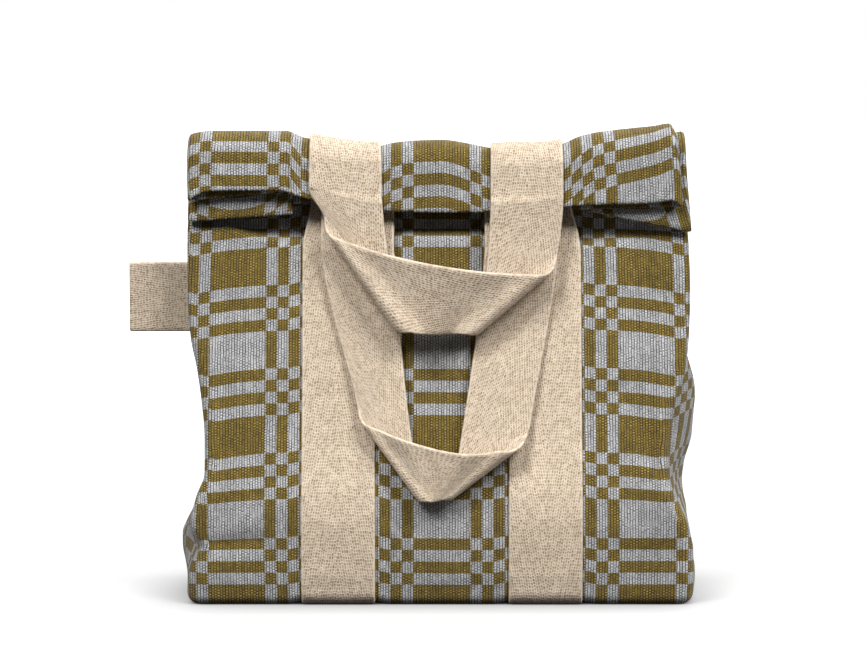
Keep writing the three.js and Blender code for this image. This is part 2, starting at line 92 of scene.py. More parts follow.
# The edges of the sewn strips, and how far past them the close rows of the cloth and the hump
# over the strips at its foot reach
STRIP_EDGES = [STRIP_X - WEBBING_WIDTH / 2, STRIP_X, STRIP_X + WEBBING_WIDTH / 2]
STRIP_MARGIN = 12.0
INNER_X = STRIP_EDGES[2] + STRIP_MARGIN
HUMP_MARGIN = 11.0

# Rows of the coarse shape in the base's edge, the fold and the flap
BASE_KNOTS = 8
FOLD_KNOTS = 10
FLAP_KNOTS = 4

# Steps of the fine surfaces
CORNER_STEPS = 8
GUSSET_STEPS = 27
FACE_END_STEPS = 26
FACE_STEPS = 84
ROLL_STEPS = 22
BOTTOM_STEPS = 44
LEG_STEPS = {"front": 70, "back": 36}
ACROSS_STEPS = 20
FRONT_TURN_STEPS = 44
BACK_RISE_STEPS = 64
TAB_STEPS = 40
TAB_TURN_STEPS = 10


def table(columns, rows):
    return {name: np.array([row[n] for row in rows], float) for n, name in enumerate(columns)}


# The standing body, a row for each height, as depths of the two faces and widths of the gussets
LEVELS = table(
    ["z", "front", "back", "middle", "bow", "left", "leftBack", "leftSeam",
     "right", "rightBack", "rightSeam", "seamY", "crease", "lift", "buckle", "hump"],
    [
        [8, -75, 75, 75, 0, 178, 177, 181, 175.5, 175, 177, 10, 11, 0, 0, 1],
        [22, -76, 76, 76, 1, 177, 177, 185, 176, 175, 178, 10, 10, 0, 0, 0.6],
        [32, -76, 77, 77, 1.5, 173.5, 176, 186.5, 175.5, 175, 178, 9.5, 8.5, 0, 0, 0.2],
        [41, -76, 77, 77, 2, 169, 174, 186.5, 175, 174, 178, 9, 7, 0, 0, 0],
        [48, -76, 77, 77, 2.3, 172, 173, 184, 173.5, 172.5, 177, 8.5, 6.5, 0, 0, 0],
        [56, -76, 77, 77, 2.5, 175.5, 172.5, 180, 172, 171, 176, 8, 6, 0, 0, 0],
        [74, -74.5, 76, 76, 2, 171.5, 170.5, 168, 163, 168, 172, 7, 5.5, 0, 0, 0],
        [92, -71, 74, 74, 0, 165.5, 168, 152, 158, 165, 174, 5, 6, 0, 0, 0],
        [115, -66, 69.5, 69.5, -2, 165.7, 168, 137, 159, 164, 179, 3, 7, 0, 0, 0],
        [140, -60, 62, 62, -2, 168, 171, 127, 164, 167, 178, 1, 6.5, 0, 0, 0],
        [166, -53, 53.5, 53.5, 0, 172, 173.5, 120.5, 171, 171, 159, -1, 4.2, 0, 0, 0],
        [185, -47.8, 47.2, 47.2, 1.3, 176.5, 174.5, 117.6, 173.4, 172.7, 142, -3, 4.6, 0, 0.1, 0],
        [216, -39.5, 36, 36, 2.5, 179, 176.5, 114, 174.8, 174.5, 119, -3, 3.6, 0, 0.4, 0],
        [242, -33, 26, 26, 3, 179.3, 177.5, 111.5, 174, 174, 113, -3, 3, 0, 0.9, 0],
        [249, -31.5, 23.5, 23.5, 3, 179, 177.5, 111, 173.5, 173.5, 112, -3, 2.8, 0, 1, 0],
        [256, -25, 21, 20, 1, 178.5, 177.5, 110, 172.8, 173, 111, -3, 2.6, 0.1, 1, 0],
        [266, -21, 17, 15, 0, 178.5, 178, 109, 172.3, 172.3, 109.5, -3, 2.5, 0.2, 0.8, 0],
        [280, -17, 11.5, 8, 0, 179, 178, 108, 171.8, 171, 108.5, -3, 2.4, 0.45, 0.4, 0],
        [296, -14, 5.5, 0.5, 0, 179, 178, 107.5, 171.5, 169.5, 106, -4, 2.3, 0.75, 0.1, 0],
    ],
)

# Widths of the folded top, by how far the fold has turned and then by the flap's length
FOLD_WIDTHS = table(
    ["turn", "left", "leftBack", "leftSeam", "right", "rightBack", "rightSeam"],
    [
        [0, 178.5, 178, 107.5, 171, 167, 105],
        [0.5, 177.5, 178.5, 107, 171, 163, 102],
        [1, 178, 178.5, 106, 171.5, 166, 96],
        [2, 178.5, 178, 106, 175.5, 168.5, 93],
    ],
)

# How much the top edge stands above or below the even fold, and how much higher still the
# inner layer stands where it shows past the right end of the outer one
CREST = table(["x", "lift", "inner"], [
    [-180, -5, 0], [-165, -2.5, 0], [-110, -2.5, 0], [-98, -6.8, 0], [-84, -8, 0], [-72, -9, 0],
    [-48, -9.8, 0], [-36, -7.2, 0], [-22, -5.5, 0], [0, -4.8, 0], [22, -8, 0], [36, -10.5, 0],
    [48, -10, 0], [72, -11, 0], [84, -10.5, 0], [98, -6, 0], [110, -3.5, 0], [140, 0, 0], [150, 1, 0],
    [161, 2.8, 1.2], [171, 2.5, 3.6], [178, 2, 4.5],
])

# How much the front's buckled crease, under the flap, stands above its level
BUCKLE = table(["x", "lift"], [
    [-180, 17.5], [-171, 13], [-150, 11], [-129, 4], [-114, 2], [-97, 1], [-60, 3.5], [-40, 5],
    [27, 5], [60, 1.5], [94, -2.5], [112, 0], [140, 3.5], [154, 6], [166, 7.5], [176, 10],
])

# Heights of the mouth's two hems along the flap, and where the gussets' seams end
HEMS = table(["x", "back", "front"], [
    [-180, 281.5, 268], [-173, 286.5, 268.5], [-166, 289, 272], [-150, 290, 276], [-113, 290, 279],
    [-106, 287.5, 280], [-98, 285, 281], [-72, 280, 283], [-45, 276, 283.5], [0, 274.5, 283.5],
    [45, 275, 283], [72, 277, 282], [98, 279.5, 279], [120, 280.3, 275], [145, 281, 273],
    [157, 282.5, 270], [163, 283, 267.5], [168, 279, 265], [176, 277, 260.5],
])
SEAM_HEM = {
    "left": {"front": 273.0, "back": 290.0},
    "right": {"front": 277.5, "back": 276.5},
}

# The front handle between its strip's end and the front: up behind the flap, over and down
FRONT_TURN = table(["y", "z", "drift"], [
    [-32, 259, 0.1], [-26.5, 268, 0.25], [-21.3, 278, 0.4], [-18.8, 286, 0.55], [-19.8, 288.8, 0.6],
    [-22.5, 290, 0.65], [-25.3, 288.8, 0.7], [-26.5, 286, 0.75], [-27.5, 280, 0.85],
    [-31, 272, 1], [-37.5, 260, 1], [-43.5, 248, 1],
])

# Depth of each handle's hanging legs by height
FRONT_LEG = table(["z", "y"], [
    [56, -85], [74, -83], [92, -79], [115, -73.5], [140, -67], [166, -60.5], [190, -54.5],
    [216, -50], [248, -43.5],
])
BACK_LEG = table(["z", "y"], [
    [165, -68], [190, -62], [216, -56], [240, -52], [262, -49.5], [281, -48.5], [300, -47],
])

# Where each handle's legs hang below the flap, the heading in degrees of their edges, and how far
# the bottom stretch's lower edge lies back and its upper edge stands forward
LEGS = {
    "front": {
        "depth": FRONT_LEG, "left": -59.5, "right": 56,
        "leftHeading": -85, "rightHeading": 86, "low": 1.5, "high": 8.0,
    },
    "back": {
        "depth": BACK_LEG, "left": -68, "right": 60,
        "leftHeading": -86, "rightHeading": 89, "low": 10.0, "high": 10.0,
    },
}

# Share of the bottom stretch, from each end, over which it comes to lean
BAND_EASE = 0.3

# The soft rolls at which the webbing turns from a leg into the bottom stretch: the ends on the
# outline, their radii, the edge's slip along the roll, and the headings in and out
ROLL_COLUMNS = ["upperX", "upperZ", "upperRadius", "upperSlip", "lowerX", "lowerZ",
                "lowerRadius", "lowerSlip", "legHeading", "bottomHeading"]
ROLLS = {
    ("front", "left"): [-56, 129, 3.2, 8, -17, 76.5, 5, 5, -78, -19],
    ("front", "right"): [54, 112, 7, 14, 7, 76.5, 3.2, 4, 81, 12],
    ("back", "left"): [-80, 260, 4.5, 10, -33, 194, 8, 8, -77, -19],
    ("back", "right"): [76, 233, 7, 12, 25.5, 190.5, 5, 6, 80, -2],
}

# The back handle over the fold: how loose it lies, how soon it comes loose, and the share of the
# way at which it has drifted sideways to its leg
BACK_LOOSE = 1.4
BACK_LOOSE_EASE = 6.0
BACK_DRIFT_END = 0.6


def pchip(xs, ys, at):
    """Monotone cubic through the points, held level past both ends."""
    xs, ys = np.asarray(xs, float), np.asarray(ys, float)
    at = np.clip(np.asarray(at, float), xs[0], xs[-1])
    step = np.diff(xs)
    slope = np.diff(ys) / step
    tangent = np.zeros_like(ys)
    tangent[0], tangent[-1] = slope[0], slope[-1]
    inner = slope[:-1] * slope[1:] > 0
    w1, w2 = 2 * step[1:] + step[:-1], step[1:] + 2 * step[:-1]
    with np.errstate(divide="ignore", invalid="ignore"):
        mean = (w1 + w2) / (w1 / slope[:-1] + w2 / slope[1:])
    tangent[1:-1] = np.where(inner, mean, 0)
    n = np.clip(np.searchsorted(xs, at, side="right") - 1, 0, len(xs) - 2)
    t = (at - xs[n]) / step[n]
    return (
        (2 * t**3 - 3 * t**2 + 1) * ys[n] + (t**3 - 2 * t**2 + t) * step[n] * tangent[n]
        + (3 * t**2 - 2 * t**3) * ys[n + 1] + (t**3 - t**2) * step[n] * tangent[n + 1]
    )


def ease(t):
    t = np.clip(t, 0, 1)
    return t * t * (3 - 2 * t)


def mix(a, b, t):
    return a + (b - a) * t


# Rows of the bag: sections that start at the front face and run back, from level rows up the
# body to the turning rows of the fold and the flap. The key t is the distance up the cloth.
CORNER_LENGTH = BASE_EDGE_RADIUS * math.pi / 2
FOLD_START = CORNER_LENGTH + FOLD_Z - LEVELS["z"][0]
FOLD_END = FOLD_START + math.pi * (FOLD_RADIUS + FOLD_DEPTH / 2)
TOP = FOLD_END + FLAP_LENGTH
WIDTHS = ["left", "leftBack", "leftSeam", "right", "rightBack", "rightSeam"]


def level_row(n, inset, z, t):
    level = {name: LEVELS[name][n] for name in LEVELS}
    crease = level["crease"] - inset
    return {
        **{name: level[name] - inset for name in WIDTHS},
        "t": t, "y": level["front"] + inset, "z": z, "angle": 0.0,
        "depth": level["back"] - level["front"] - 2 * inset,
        "depthMiddle": level["middle"] - level["front"] - 2 * inset,
        "seamDepth": level["seamY"] - level["front"] - inset, "seamY": level["seamY"],
        "crease": max(crease, LEAST_CREASE) if inset else crease,
        "bow": level["bow"], "lift": level["lift"], "buckle": level["buckle"],
        "hump": level["hump"], "flap": 0.0,
    }


def fold_row(turn, flap):
    at = turn + flap
    return {
        **{name: float(pchip(FOLD_WIDTHS["turn"], FOLD_WIDTHS[name], at)) for name in WIDTHS},
        "t": mix(FOLD_START, FOLD_END, turn) + FLAP_LENGTH * flap,
        "y": FOLD_Y + FOLD_RADIUS * math.cos(turn * math.pi) - FLAP_FLARE * flap,
        "z": FOLD_Z + FOLD_RADIUS * math.sin(turn * math.pi),
        "angle": turn * math.pi, "depth": FOLD_DEPTH, "depthMiddle": FOLD_DEPTH_MIDDLE,
        "seamDepth": FOLD_DEPTH / 2, "seamY": 0.0, "crease": FOLD_CREASE_RADIUS,
        "bow": 0.0, "lift": 1.0, "buckle": 0.0, "hump": 0.0, "flap": flap,
    }


def knots():
    rows = []
    for n in range(BASE_KNOTS):
        tilt = n / BASE_KNOTS * math.pi / 2
        inset = BASE_EDGE_RADIUS * (1 - math.sin(tilt))
        z = CLOTH / 2 + BASE_EDGE_RADIUS * (1 - math.cos(tilt))
        rows.append(level_row(0, inset, z, tilt * BASE_EDGE_RADIUS))
    for n, z in enumerate(LEVELS["z"]):
        rows.append(level_row(n, 0, z, CORNER_LENGTH + z - LEVELS["z"][0]))
    for n in range(FOLD_KNOTS + 1):
        rows.append(fold_row(n / FOLD_KNOTS, 0.0))
    for n in range(1, FLAP_KNOTS + 1):
        rows.append(fold_row(1.0, n / FLAP_KNOTS))
    return {name: np.array([row[name] for row in rows]) for name in rows[0]}


KNOTS = knots()
FIELDS = [name for name in KNOTS if name != "t"]


def rows_at(t):
    """The row values at each t, as arrays of t's shape."""
    t = np.asarray(t, float)
    return {"t": t, **{name: pchip(KNOTS["t"], KNOTS[name], t) for name in FIELDS}}


# Soft creases: u runs from the middle of the cloth round the corners, z is the height
CREASES = {
    "front": [
        # u0, z0, u1, z1, width, height
        [-176, 41, -128, 46, 5.5, -2.4],
        [-180, 62, -150, 90, 9, 1.6],
        [-166, 96, -112, 128, 12, -1.4],
        [-172, 168, -104, 150, 16, 1.2],
        [-160, 205, -104, 214, 10, -0.9],
        [160, 82, 128, 150, 8, -2.2],
        [172, 62, 140, 92, 9, 1.8],
        [174, 176, 104, 160, 15, 1.1],
        [164, 216, 104, 208, 11, -0.9],
        [120, 40, 172, 34, 8, -1.1],
        [-40, 120, 36, 112, 16, 0.9],
        [-36, 60, 40, 66, 14, -0.8],
    ],
    "back": [
        [-170, 60, -120, 84, 11, -1.6],
        [172, 70, 116, 96, 12, -1.5],
        [-168, 140, -104, 156, 16, 1.3],
        [170, 160, 104, 146, 15, 1.2],
        [-160, 212, -100, 220, 12, -1.2],
        [160, 224, 100, 214, 12, -1.1],
        [-38, 96, 40, 88, 16, 1.0],
        [-40, 186, 38, 194, 14, -1.0],
    ],
}

# Shallow unevenness of the cloth: length of the wave, heading in degrees, phase, height. The back
# has it shifted. Creases fade towards their ends.
RIPPLES = [[83, 20, 0.4, 0.34], [61, -48, 2.1, 0.26], [47, 74, 4.0, 0.2], [34, -12, 1.2, 0.12]]
BACK_PHASE = 1.3
CREASE_FADE = 1.6

# The unevenness is calm under and near the webbing, and dies away above the base and below the fold
CALM_MARGIN = 14
CALM_SHARE = 0.25
RELIEF_BASE = {"z": 10, "ease": 14}
RELIEF_FOLD = {"z": 268, "ease": 12}


def relief(panel, u, z):
    """How far the cloth stands off its even surface, in millimetres."""
    u, z = np.broadcast_arrays(np.asarray(u, float), np.asarray(z, float))
    total = np.zeros(u.shape)
    for length, heading, phase, height in RIPPLES:
        a = math.radians(heading)
        run = (u * math.cos(a) + z * math.sin(a)) / length * 2 * math.pi
        total += height * np.sin(run + phase + (BACK_PHASE if panel == "back" else 0))
    for u0, z0, u1, z1, width, height in CREASES[panel]:
        du, dz = u1 - u0, z1 - z0
        along = ((u - u0) * du + (z - z0) * dz) / (du * du + dz * dz)
        near = np.clip(along, 0, 1)
        off = np.hypot(u - u0 - near * du, z - z0 - near * dz)
        fade = np.clip(CREASE_FADE - CREASE_FADE * np.abs(along - 0.5), 0, 1)
        total += height * np.exp(-((off / width) ** 2)) * fade
    away = np.minimum(np.abs(np.abs(u) - STRIP_X) - WEBBING_WIDTH / 2, CALM_MARGIN) / CALM_MARGIN
    calm = mix(CALM_SHARE, 1.0, ease(away))
    above = ease((z - RELIEF_BASE["z"]) / RELIEF_BASE["ease"])
    below = ease((RELIEF_FOLD["z"] - z) / RELIEF_FOLD["ease"])
    return total * calm * above * below


def place(row, panel, x, d, fade, hem_z):
    y = row["y"] + d * np.cos(row["angle"])
    z = row["z"] + d * np.sin(row["angle"]) + pchip(CREST["x"], CREST["lift"], x) * row["lift"]
    if panel == "front":
        z = z + pchip(CREST["x"], CREST["inner"], x) * row["lift"]
        z = z + pchip(BUCKLE["x"], BUCKLE["lift"], x) * row["buckle"] * fade
    away = np.maximum(np.maximum(STRIP_EDGES[0] - np.abs(x), np.abs(x) - STRIP_EDGES[2]), 0)
    z = z + (SEWN_GAP + WEBBING) * np.clip(1 - away / HUMP_MARGIN, 0, 1) * row["hump"]
    z = mix(z, hem_z, row["flap"])
    return np.stack(np.broadcast_arrays(x, y, z), axis=-1)


def face_depth(row, panel, x, end):
    bow = row["bow"] * (1 - (x / end) ** 2)
    if panel == "front":
        return -bow
    side = ease((np.abs(x) - STRIP_EDGES[0]) / (INNER_X - STRIP_EDGES[0]))
    return mix(row["depthMiddle"], row["depth"], side) + BACK_BOW_SHARE * bow


def face_ends(row, panel):
    suffix = "" if panel == "front" else "Back"
    return -(row["left" + suffix] - row["crease"]), row["right" + suffix] - row["crease"]


def face_point(panel, t, x):
    """A point of a panel's face at distance t up the cloth and width x. A t under 0 is on the base."""
    t, x = np.broadcast_arrays(np.asarray(t, float), np.asarray(x, float))
    row = rows_at(np.maximum(t, 0))
    left, right = face_ends(row, panel)
    end = np.where(x < 0, -left, right)
    hem = pchip(HEMS["x"], HEMS[panel], x)
    point = place(row, panel, x, face_depth(row, panel, x, end), 1, hem)
    outward = -1 if panel == "front" else 1
    point[..., 1] += outward * relief(panel, x, point[..., 2]) * np.cos(row["angle"])
    point[..., 1] += outward * np.minimum(t, 0)
    return point


def gusset_line(row, panel, side, tab):
    """One panel's corner crease and half gusset on one side, from the face's end to the seam."""
    sign = -1 if side == "left" else 1
    width = row[side if panel == "front" else side + "Back"]
    radius = row["crease"]
    centre = np.array([width - radius, radius])
    tab = tab if side == "left" else 0
    upright = ease((FOLD_START - row["t"]) / SEAM_EASE)
    room = mix(mix(FOLD_SEAM_GAP, SEAM_GAP, upright) / 2, TAB_ROOM, tab)
    sway = SEAM_SWAY * math.sin(row["z"] / SEAM_WAVE + SEAM_PHASE[side]) * (1 - tab)
    seam_depth = row["seamDepth"] + sway * upright
    if panel == "back":
        seam_depth = row["depth"] - seam_depth
    seam = np.array([row[side + "Seam"], seam_depth - room])
    heading = 0.0
    for _ in range(HEADING_ROUNDS):
        run = seam - centre
        heading = math.atan2(run[1], run[0]) + math.asin(min(1, radius / np.hypot(*run)))
        half = CLOTH * math.hypot(math.cos(heading) / 2, RIM * math.sin(heading))
        seam[1] = seam_depth - room - half
    turns = heading * np.arange(1, CORNER_STEPS + 1) / CORNER_STEPS
    arc = np.stack([centre[0] + radius * np.sin(turns), radius - radius * np.cos(turns)], axis=1)
    start = arc[-1]
    chord = np.hypot(*(seam - start))
    length = GUSSET_HALF + (row["seamY"] if panel == "front" else -row["seamY"]) - radius
    slack = math.sqrt(ARCH_RISE * max(0, length / chord - 1))
    bulge = GUSSET_SLACK[side] * chord * slack * math.sin(heading) ** 2
    along = np.arange(1, GUSSET_STEPS + 1) / GUSSET_STEPS
    flat = start + (seam - start) * along[:, None]
    out = 4 * along * (1 - along) * bulge
    flat += out[:, None] * np.array([math.sin(heading), -math.cos(heading)])
    at = np.concatenate([arc, flat])
    along = np.concatenate([np.zeros(CORNER_STEPS), along])
    corner_hem = pchip(HEMS["x"], HEMS[panel], sign * width)
    hem = mix(corner_hem, SEAM_HEM[side][panel], along)
    d = at[:, 1] if panel == "front" else row["depth"] - at[:, 1]
    return place(row, panel, sign * at[:, 0], d, 1 - along, hem)


# Where the rows of the fine surface lie: start, end, steps
ROW_SPANS = [
    [0, CORNER_LENGTH, 7], [CORNER_LENGTH, 246, 96], [246, 264, 14], [264, FOLD_START, 20],
    [FOLD_START, FOLD_END, 26], [FOLD_END, TOP, 14],
]


def row_places():
    places = [0.0]
    for start, end, steps in ROW_SPANS:
        places.extend(start + (end - start) * n / steps for n in range(1, steps + 1))
    return np.array(places)


PLACES = row_places()


def cloth_panel(panel):
    """Points, quads and flat cloth coordinates of a panel: face, two half gussets and base part."""
    rows = rows_at(PLACES)
    over = ease((rows["z"] - TAB["low"] + TAB_MARGIN) / TAB_EASE)
    under = ease((TAB["high"] + TAB_MARGIN - rows["z"]) / TAB_EASE)
    tab_fade = over * under * (rows["flap"] == 0) * (rows["angle"] == 0)
    inner = np.linspace(-INNER_X, INNER_X, FACE_STEPS + 1)
    wall = []
    for i in range(len(PLACES)):
        row = {name: rows[name][i] for name in rows}
        left, right = face_ends(row, panel)
        x = np.concatenate([
            np.linspace(left, -INNER_X, FACE_END_STEPS + 1)[:-1], inner,
            np.linspace(INNER_X, right, FACE_END_STEPS + 1)[1:],
        ])
        wall.append(np.concatenate([
            gusset_line(row, panel, "left", tab_fade[i])[::-1], face_point(panel, row["t"], x),
            gusset_line(row, panel, "right", tab_fade[i]),
        ]))
    wall = np.array(wall)
    side = CORNER_STEPS + GUSSET_STEPS
    face = wall.shape[1] - 2 * side
    middle = side + face // 2
    run = np.linalg.norm(np.diff(wall, axis=1), axis=2)
    u = np.concatenate([np.zeros((len(wall), 1)), np.cumsum(run, axis=1)], axis=1)
    u -= u[:, middle:middle + 1]
    rise = np.linalg.norm(np.diff(wall, axis=0), axis=2)
    v = np.concatenate([np.zeros((1, wall.shape[1])), np.cumsum(rise, axis=0)], axis=0)
    points = wall.reshape(-1, 3)
    flat = np.stack([u, v], axis=-1).reshape(-1, 2)
    index = np.arange(len(points)).reshape(wall.shape[:2])
    base_index = [index[0, side:side + face]]
    extra_points, extra_flat = [], []
    count = len(points)
    for k in range(1, side + 1):
        left, right = index[0, side - k], index[0, side + face - 1 + k]
        above = points[base_index[0][1:-1]]
        share = np.arange(1, face - 1) / (face - 1)
        y = mix(points[left][1], points[right][1], share)
        extra_points.append(np.stack([above[:, 0], y, above[:, 2]], axis=1))
        extra_flat.append(np.stack([above[:, 0], -np.abs(y - above[:, 1])], axis=1))
        line = np.concatenate([[left], np.arange(count, count + face - 2), [right]])
        count += face - 2
        base_index.append(line)
    points = np.concatenate([points, *extra_points])
    flat = np.concatenate([flat, *extra_flat])
    lines = [index[i] for i in range(len(index))]
    quads = []
    for lower, upper in [*zip(lines[:-1], lines[1:]), *zip(base_index[1:], base_index[:-1])]:
        quads.append(np.stack([lower[:-1], lower[1:], upper[1:], upper[:-1]], axis=1))
    quads = np.concatenate(quads)
    if panel == "back":
        quads = quads[:, [0, 3, 2, 1]]
    return points, quads, flat


def grid_quads(rows, columns):
    index = np.arange(rows * columns).reshape(rows, columns)
    return np.stack([
        index[:-1, :-1], index[:-1, 1:], index[1:, 1:], index[1:, :-1],
    ], axis=-1).reshape(-1, 4)


def vertex_normals(points, quads):
    corner = points[quads]
    normal = np.cross(corner[:, 2] - corner[:, 0], corner[:, 3] - corner[:, 1])
    normal /= np.maximum(np.linalg.norm(normal, axis=1, keepdims=True), TINY)
    total = np.zeros_like(points)
    for n in range(4):
        np.add.at(total, quads[:, n], normal)
    return total / np.maximum(np.linalg.norm(total, axis=1, keepdims=True), TINY)


def sheet_object(name, points, quads, flat, thickness, material, edge=RIM):
    """A closed sheet about a middle surface, with a rounded rim, as a mesh object."""
    normals = vertex_normals(points, quads)
    count = len(points)
    pairs = np.concatenate([quads[:, [n, (n + 1) % 4]] for n in range(4)])
    known = {(a, b) for a, b in pairs.tolist()}
    rim = [(a, b) for a, b in pairs.tolist() if (b, a) not in known]
    outward = np.zeros_like(points)
    for a, b in rim:
        away = np.cross(points[b] - points[a], normals[a] + normals[b])
        away /= max(np.linalg.norm(away), TINY)
        outward[a] += away
        outward[b] += away
    ring = sorted({n for pair in rim for n in pair})
    ring_at = {n: 2 * count + k for k, n in enumerate(ring)}
    away = outward[ring] / np.maximum(np.linalg.norm(outward[ring], axis=1, keepdims=True), TINY)
    vertices = np.concatenate([
        points + normals * thickness / 2, points - normals * thickness / 2,
        points[ring] + away * thickness * edge,
    ])
    faces = np.concatenate([
        quads, quads[:, ::-1] + count,
        np.array([[b, a, ring_at[a], ring_at[b]] for a, b in rim]),
        np.array([[a + count, b + count, ring_at[b], ring_at[a]] for a, b in rim]),
    ])
    coordinates = np.concatenate([flat, flat, flat[ring]])
    mesh = bpy.data.meshes.new(name)
    mesh.from_pydata((vertices * MM).tolist(), [], faces.tolist())
    layer = mesh.uv_layers.new(name="Cloth")
    loops = np.zeros(len(mesh.loops), np.int32)
    mesh.loops.foreach_get("vertex_index", loops)
    layer.data.foreach_set("uv", coordinates[loops].astype(np.float32).ravel())
    mesh.polygons.foreach_set("use_smooth", np.ones(len(mesh.polygons), bool))
    mesh.materials.append(material)
    mesh.update()
    piece = bpy.data.objects.new(name, mesh)
    bpy.context.scene.collection.objects.link(piece)
    return piece


# Webbing is a row of rulings between its two edges
ACROSS = np.linspace(-1, 1, ACROSS_STEPS + 1)

# How far to each side of a point the slope of a face is taken
PROBE = 0.5


def offset_from_face(panel, t, x, offset):
    """Points at a distance in front of a panel's face, at distances t up the cloth."""
    point = face_point(panel, t, x)
    run = face_point(panel, t + PROBE, x) - face_point(panel, t - PROBE, x)
    width = face_point(panel, t, x + PROBE) - face_point(panel, t, x - PROBE)
    normal = np.cross(width, run) if panel == "front" else np.cross(run, width)
    normal /= np.linalg.norm(normal, axis=-1, keepdims=True)
    return point + normal * offset


# The sewn stretch: where its stitches end, how far it runs under the base, and its step
STITCHES_T = CORNER_LENGTH + STITCHES_Z - LEVELS["z"][0]
BASE_LENGTH = {"front": 77.0, "back": 57.0}
SEWN_STEP = 2.4


def sewn_stretch(panel, side):
    """The stretch sewn to a panel, from the base seam up to the line of stitches."""
    steps = int((STITCHES_T + BASE_LENGTH[panel]) / SEWN_STEP)
    t = np.linspace(-BASE_LENGTH[panel], STITCHES_T, steps + 1)[:, None]
    sign = 1 if side == "left" else -1
    x = -sign * STRIP_X + sign * ACROSS[None, :] * WEBBING_WIDTH / 2
    return offset_from_face(panel, t, x, STRIP_OFFSET)


def heading_vector(degrees):
    return np.array([math.cos(math.radians(degrees)), math.sin(math.radians(degrees))])


def roll_rulings(handle, side):
    roll = dict(zip(ROLL_COLUMNS, ROLLS[(handle, side)]))
    depth = LEGS[handle]["depth"]
    upper = np.array([roll["upperX"], roll["upperZ"]], float)
    lower = np.array([roll["lowerX"], roll["lowerZ"]], float)
    along = lower - upper if side == "left" else upper - lower
    along /= np.hypot(*along)
    beyond = np.array([along[1], -along[0]])
    rulings = []
    for n in range(ROLL_STEPS + 1):
        turn = n / ROLL_STEPS * math.pi
        ends = []
        for end, radius, slip in ((upper, roll["upperRadius"], roll["upperSlip"]),
                                  (lower, roll["lowerRadius"], roll["lowerSlip"])):
            slipped = end + along * slip * (2 * n / ROLL_STEPS - 1)
            x, z = slipped + beyond * radius * (math.sin(turn) - 1)
            forward = radius * (1 - math.cos(turn if side == "left" else math.pi - turn))
            ends.append(np.array([x, float(pchip(depth["z"], depth["y"], z)) - forward, z]))
        share = (ACROSS[:, None] + 1) / 2
        rulings.append(ends[0] + (ends[1] - ends[0]) * share)
    return np.array(rulings)


def bridge(start, end, start_heading, end_heading, steps, depth_of):
    """Rulings between two others; each edge leaves one and enters the other by its heading."""
    out, into = heading_vector(start_heading), heading_vector(end_heading)
    reach = np.hypot(end[:, 0] - start[:, 0], end[:, 2] - start[:, 2])
    rulings = []
    for n in range(1, steps):
        t = n / steps
        h = [2 * t**3 - 3 * t**2 + 1, 3 * t**2 - 2 * t**3, t**3 - 2 * t**2 + t, t**3 - t**2]
        x = h[0] * start[:, 0] + h[1] * end[:, 0] + reach * (h[2] * out[0] + h[3] * into[0])
        z = h[0] * start[:, 2] + h[1] * end[:, 2] + reach * (h[2] * out[1] + h[3] * into[1])
        rulings.append(np.stack([x, depth_of(start, end, t, z), z], axis=1))
    return np.array(rulings)


def hanging_loop(name, left_top, right_top):
    legs = LEGS[name]
    left, right = roll_rulings(name, "left"), roll_rulings(name, "right")
    left_roll = dict(zip(ROLL_COLUMNS, ROLLS[(name, "left")]))
    right_roll = dict(zip(ROLL_COLUMNS, ROLLS[(name, "right")]))

    def on_leg(a, b, t, z):
        return pchip(legs["depth"]["z"], legs["depth"]["y"], z)

    def between(a, b, t, z):
        share = (z - z.min()) / (z.max() - z.min())
        lean = mix(legs["low"], -legs["high"], share) * ease(min(t, 1 - t) / BAND_EASE)
        return mix(a[:, 1], b[:, 1], t) + lean

    steps = LEG_STEPS[name]
    return np.concatenate([
        bridge(left_top, left[0], legs["leftHeading"], left_roll["legHeading"], steps, on_leg),
        left,
        bridge(left[-1], right[0], left_roll["bottomHeading"], right_roll["bottomHeading"],
               BOTTOM_STEPS, between),
        right,
        bridge(right[-1], right_top, right_roll["legHeading"], legs["rightHeading"], steps, on_leg),
    ])


def front_turn(side):
    """The front handle rises from its strip behind the flap, turns over and hangs down."""
    sewn_x = -STRIP_X if side == "left" else STRIP_X
    y, z = FRONT_TURN["y"], FRONT_TURN["z"]
    length = np.concatenate([[0], np.cumsum(np.hypot(np.diff(y), np.diff(z)))])
    at = np.linspace(0, length[-1], FRONT_TURN_STEPS)
    fine = {name: pchip(length, FRONT_TURN[name], at) for name in FRONT_TURN}
    middle = mix(sewn_x, LEGS["front"][side], fine["drift"])
    sign = 1 if side == "left" else -1
    x = middle[:, None] + sign * ACROSS[None, :] * WEBBING_WIDTH / 2
    return np.stack(np.broadcast_arrays(x, fine["y"][:, None], fine["z"][:, None]), axis=-1)


# The solids' rows after the line of stitches, which pace the back handle's drift
RISE_HEIGHTS = [256, 266, 280, 296]
RISE_FOLD_ROWS = 5
RISE_FLAP_ROWS = 3
RISE_T = [
    STITCHES_T,
    *(CORNER_LENGTH + z - LEVELS["z"][0] for z in RISE_HEIGHTS),
    *(mix(FOLD_START, FOLD_END, n / RISE_FOLD_ROWS) for n in range(RISE_FOLD_ROWS + 1)),
    *(FOLD_END + FLAP_LENGTH * n / RISE_FLAP_ROWS for n in range(1, RISE_FLAP_ROWS + 1)),
]


